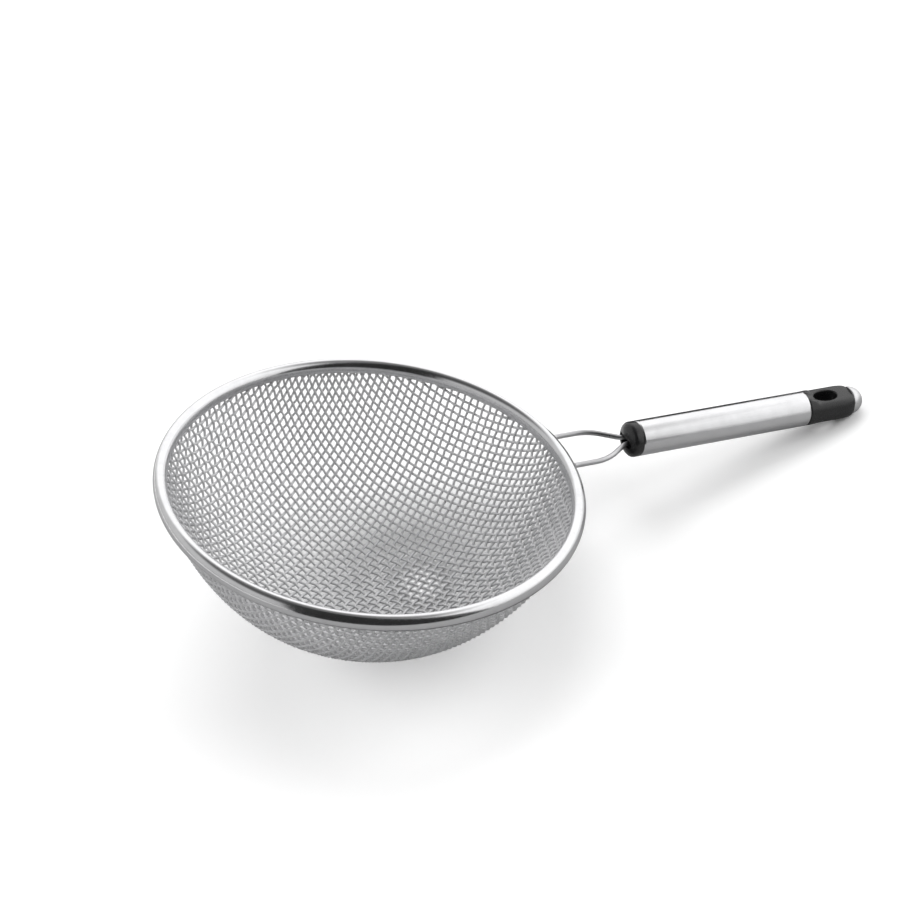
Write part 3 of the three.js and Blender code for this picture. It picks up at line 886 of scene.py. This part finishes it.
def add_flag():
    """A dark card upright behind the handle."""
    ends = (tube_start, tube_end + FLAG_OVERHANG)
    low = [(x, FLAG_BEHIND, FLAG_BOTTOM) for x in ends]
    high = [(x, FLAG_BEHIND, FLAG_TOP) for x in ends[::-1]]
    add_card("flag", [STRAINER @ (Vector(corner) * MM) for corner in low + high], FLAG_COLOUR)


def add_shade_card():
    """A dark round card under the bowl, seen only in reflections: painted shade beneath the bowl."""
    centre = Vector((*STRAINER.translation.xy, 2 * CARD_LIFT))
    ring = [Vector((math.cos(a), math.sin(a), 0)) for a in full_turn(SHADE_CARD_SIDES)]
    add_card("shade_card", [centre + SHADE_CARD_RADIUS * side for side in ring], SHADE_CARD_COLOUR)


def add_black_card():
    """A tall black card between the strainer and the camera, lighter on the right."""
    sides = [BLACK_CARD_DISTANCE * math.tan(math.radians(edge)) for edge in BLACK_CARD_EDGES]
    for k, colour in enumerate(BLACK_CARD_COLOURS):
        left, right = sides[k:k + 2]
        low = [stage_place(BLACK_CARD_DISTANCE, side) for side in (left, right)]
        high = [stage_place(BLACK_CARD_DISTANCE, side, BLACK_CARD_HEIGHT) for side in (right, left)]
        add_card(f"black_card_{k}", low + high, colour)


def add_lamps():
    """Soft lamps overhead, behind and at both sides, which light the floor and cast the shadows."""
    for name, (width, back, left, strength) in LAMPS.items():
        lamp = bpy.data.lights.new(name, "SUN")
        lamp.angle = math.radians(width)
        lamp.energy = strength
        thing = bpy.data.objects.new(name, lamp)
        bpy.context.scene.collection.objects.link(thing)
        thing.visible_glossy = False
        behind, beside = (math.tan(math.radians(lean)) for lean in (back, left))
        toward = stage_place(-behind, -beside, 1)
        thing.rotation_euler = toward.to_track_quat("Z", "Y").to_euler()


def grey_ramp(tree, value, stops):
    """A grey that runs through (position, brightness) stops."""
    return ramp(tree, value, [(position, (level, level, level)) for position, level in stops])


def add_world():
    """The studio room that the metal reflects: bright to the right and behind the strainer, dim above."""
    world = bpy.data.worlds.new("studio")
    bpy.context.scene.world = world
    world.use_nodes = True
    world.cycles_visibility.diffuse = False
    tree = world.node_tree
    place = tree.nodes.new("ShaderNodeTexCoord")
    mapping = tree.nodes.new("ShaderNodeMapping")
    mapping.inputs["Rotation"].default_value = (0, 0, -camera_azimuth())
    circle = tree.nodes.new("ShaderNodeTexGradient")
    circle.gradient_type = "RADIAL"
    parts = tree.nodes.new("ShaderNodeSeparateXYZ")
    tree.links.new(place.outputs["Generated"], mapping.inputs["Vector"])
    tree.links.new(mapping.outputs["Vector"], circle.inputs["Vector"])
    tree.links.new(mapping.outputs["Vector"], parts.inputs["Vector"])
    shares = [(direction / 360 + 0.5, level) for direction, level in ROOM_ROUND]
    heights = [(math.sin(math.radians(rise)), level) for rise, level in ROOM_ABOVE]
    around = grey_ramp(tree, circle.outputs["Fac"], shares)
    above = grey_ramp(tree, parts.outputs["Z"], heights)
    level = combine(tree, "MULTIPLY", combine(tree, "MULTIPLY", around, above), ROOM_STRENGTH)
    path = tree.nodes.new("ShaderNodeLightPath")
    strength = combine(tree, "MAXIMUM", level, path.outputs["Is Camera Ray"])
    tree.links.new(strength, tree.nodes["Background"].inputs["Strength"])
    tree.nodes["Background"].inputs["Color"].default_value = (1, 1, 1, 1)


def add_camera():
    """The photograph's camera, placed in the strainer's own frame."""
    camera = bpy.data.cameras.new("camera")
    camera.sensor_width = SENSOR_WIDTH
    camera.lens = SENSOR_WIDTH * FOCAL_PIXELS / PICTURE_SIZE
    camera.clip_start = CLIP_START
    camera.clip_end = CLIP_END
    thing = bpy.data.objects.new("camera", camera)
    bpy.context.scene.collection.objects.link(thing)
    rise = math.radians(CAMERA_RISE)
    right = Vector((1, 0, 0))
    ahead = Vector((0, math.cos(rise), -math.sin(rise)))
    up = right.cross(ahead)
    place = (-ahead * CAMERA_DISTANCE - right * CAMERA_RIGHT - up * CAMERA_UP) * MM
    tip = Matrix.Rotation(math.radians(CAMERA_TIP), 3, "Y")
    back_turn = (Matrix.Rotation(math.radians(CAMERA_TURN), 3, "Z") @ tip).transposed()
    axes = Matrix((back_turn @ right, back_turn @ up, back_turn @ -ahead)).transposed()
    thing.matrix_world = STRAINER @ Matrix.Translation(back_turn @ place) @ axes.to_4x4()
    bpy.context.scene.camera = thing


dress_strainer()
add_camera()
add_floor()
add_floor_cards()
add_flag()
add_shade_card()
add_black_card()
add_world()
add_lamps()
bpy.context.scene.view_settings.view_transform = "Standard"
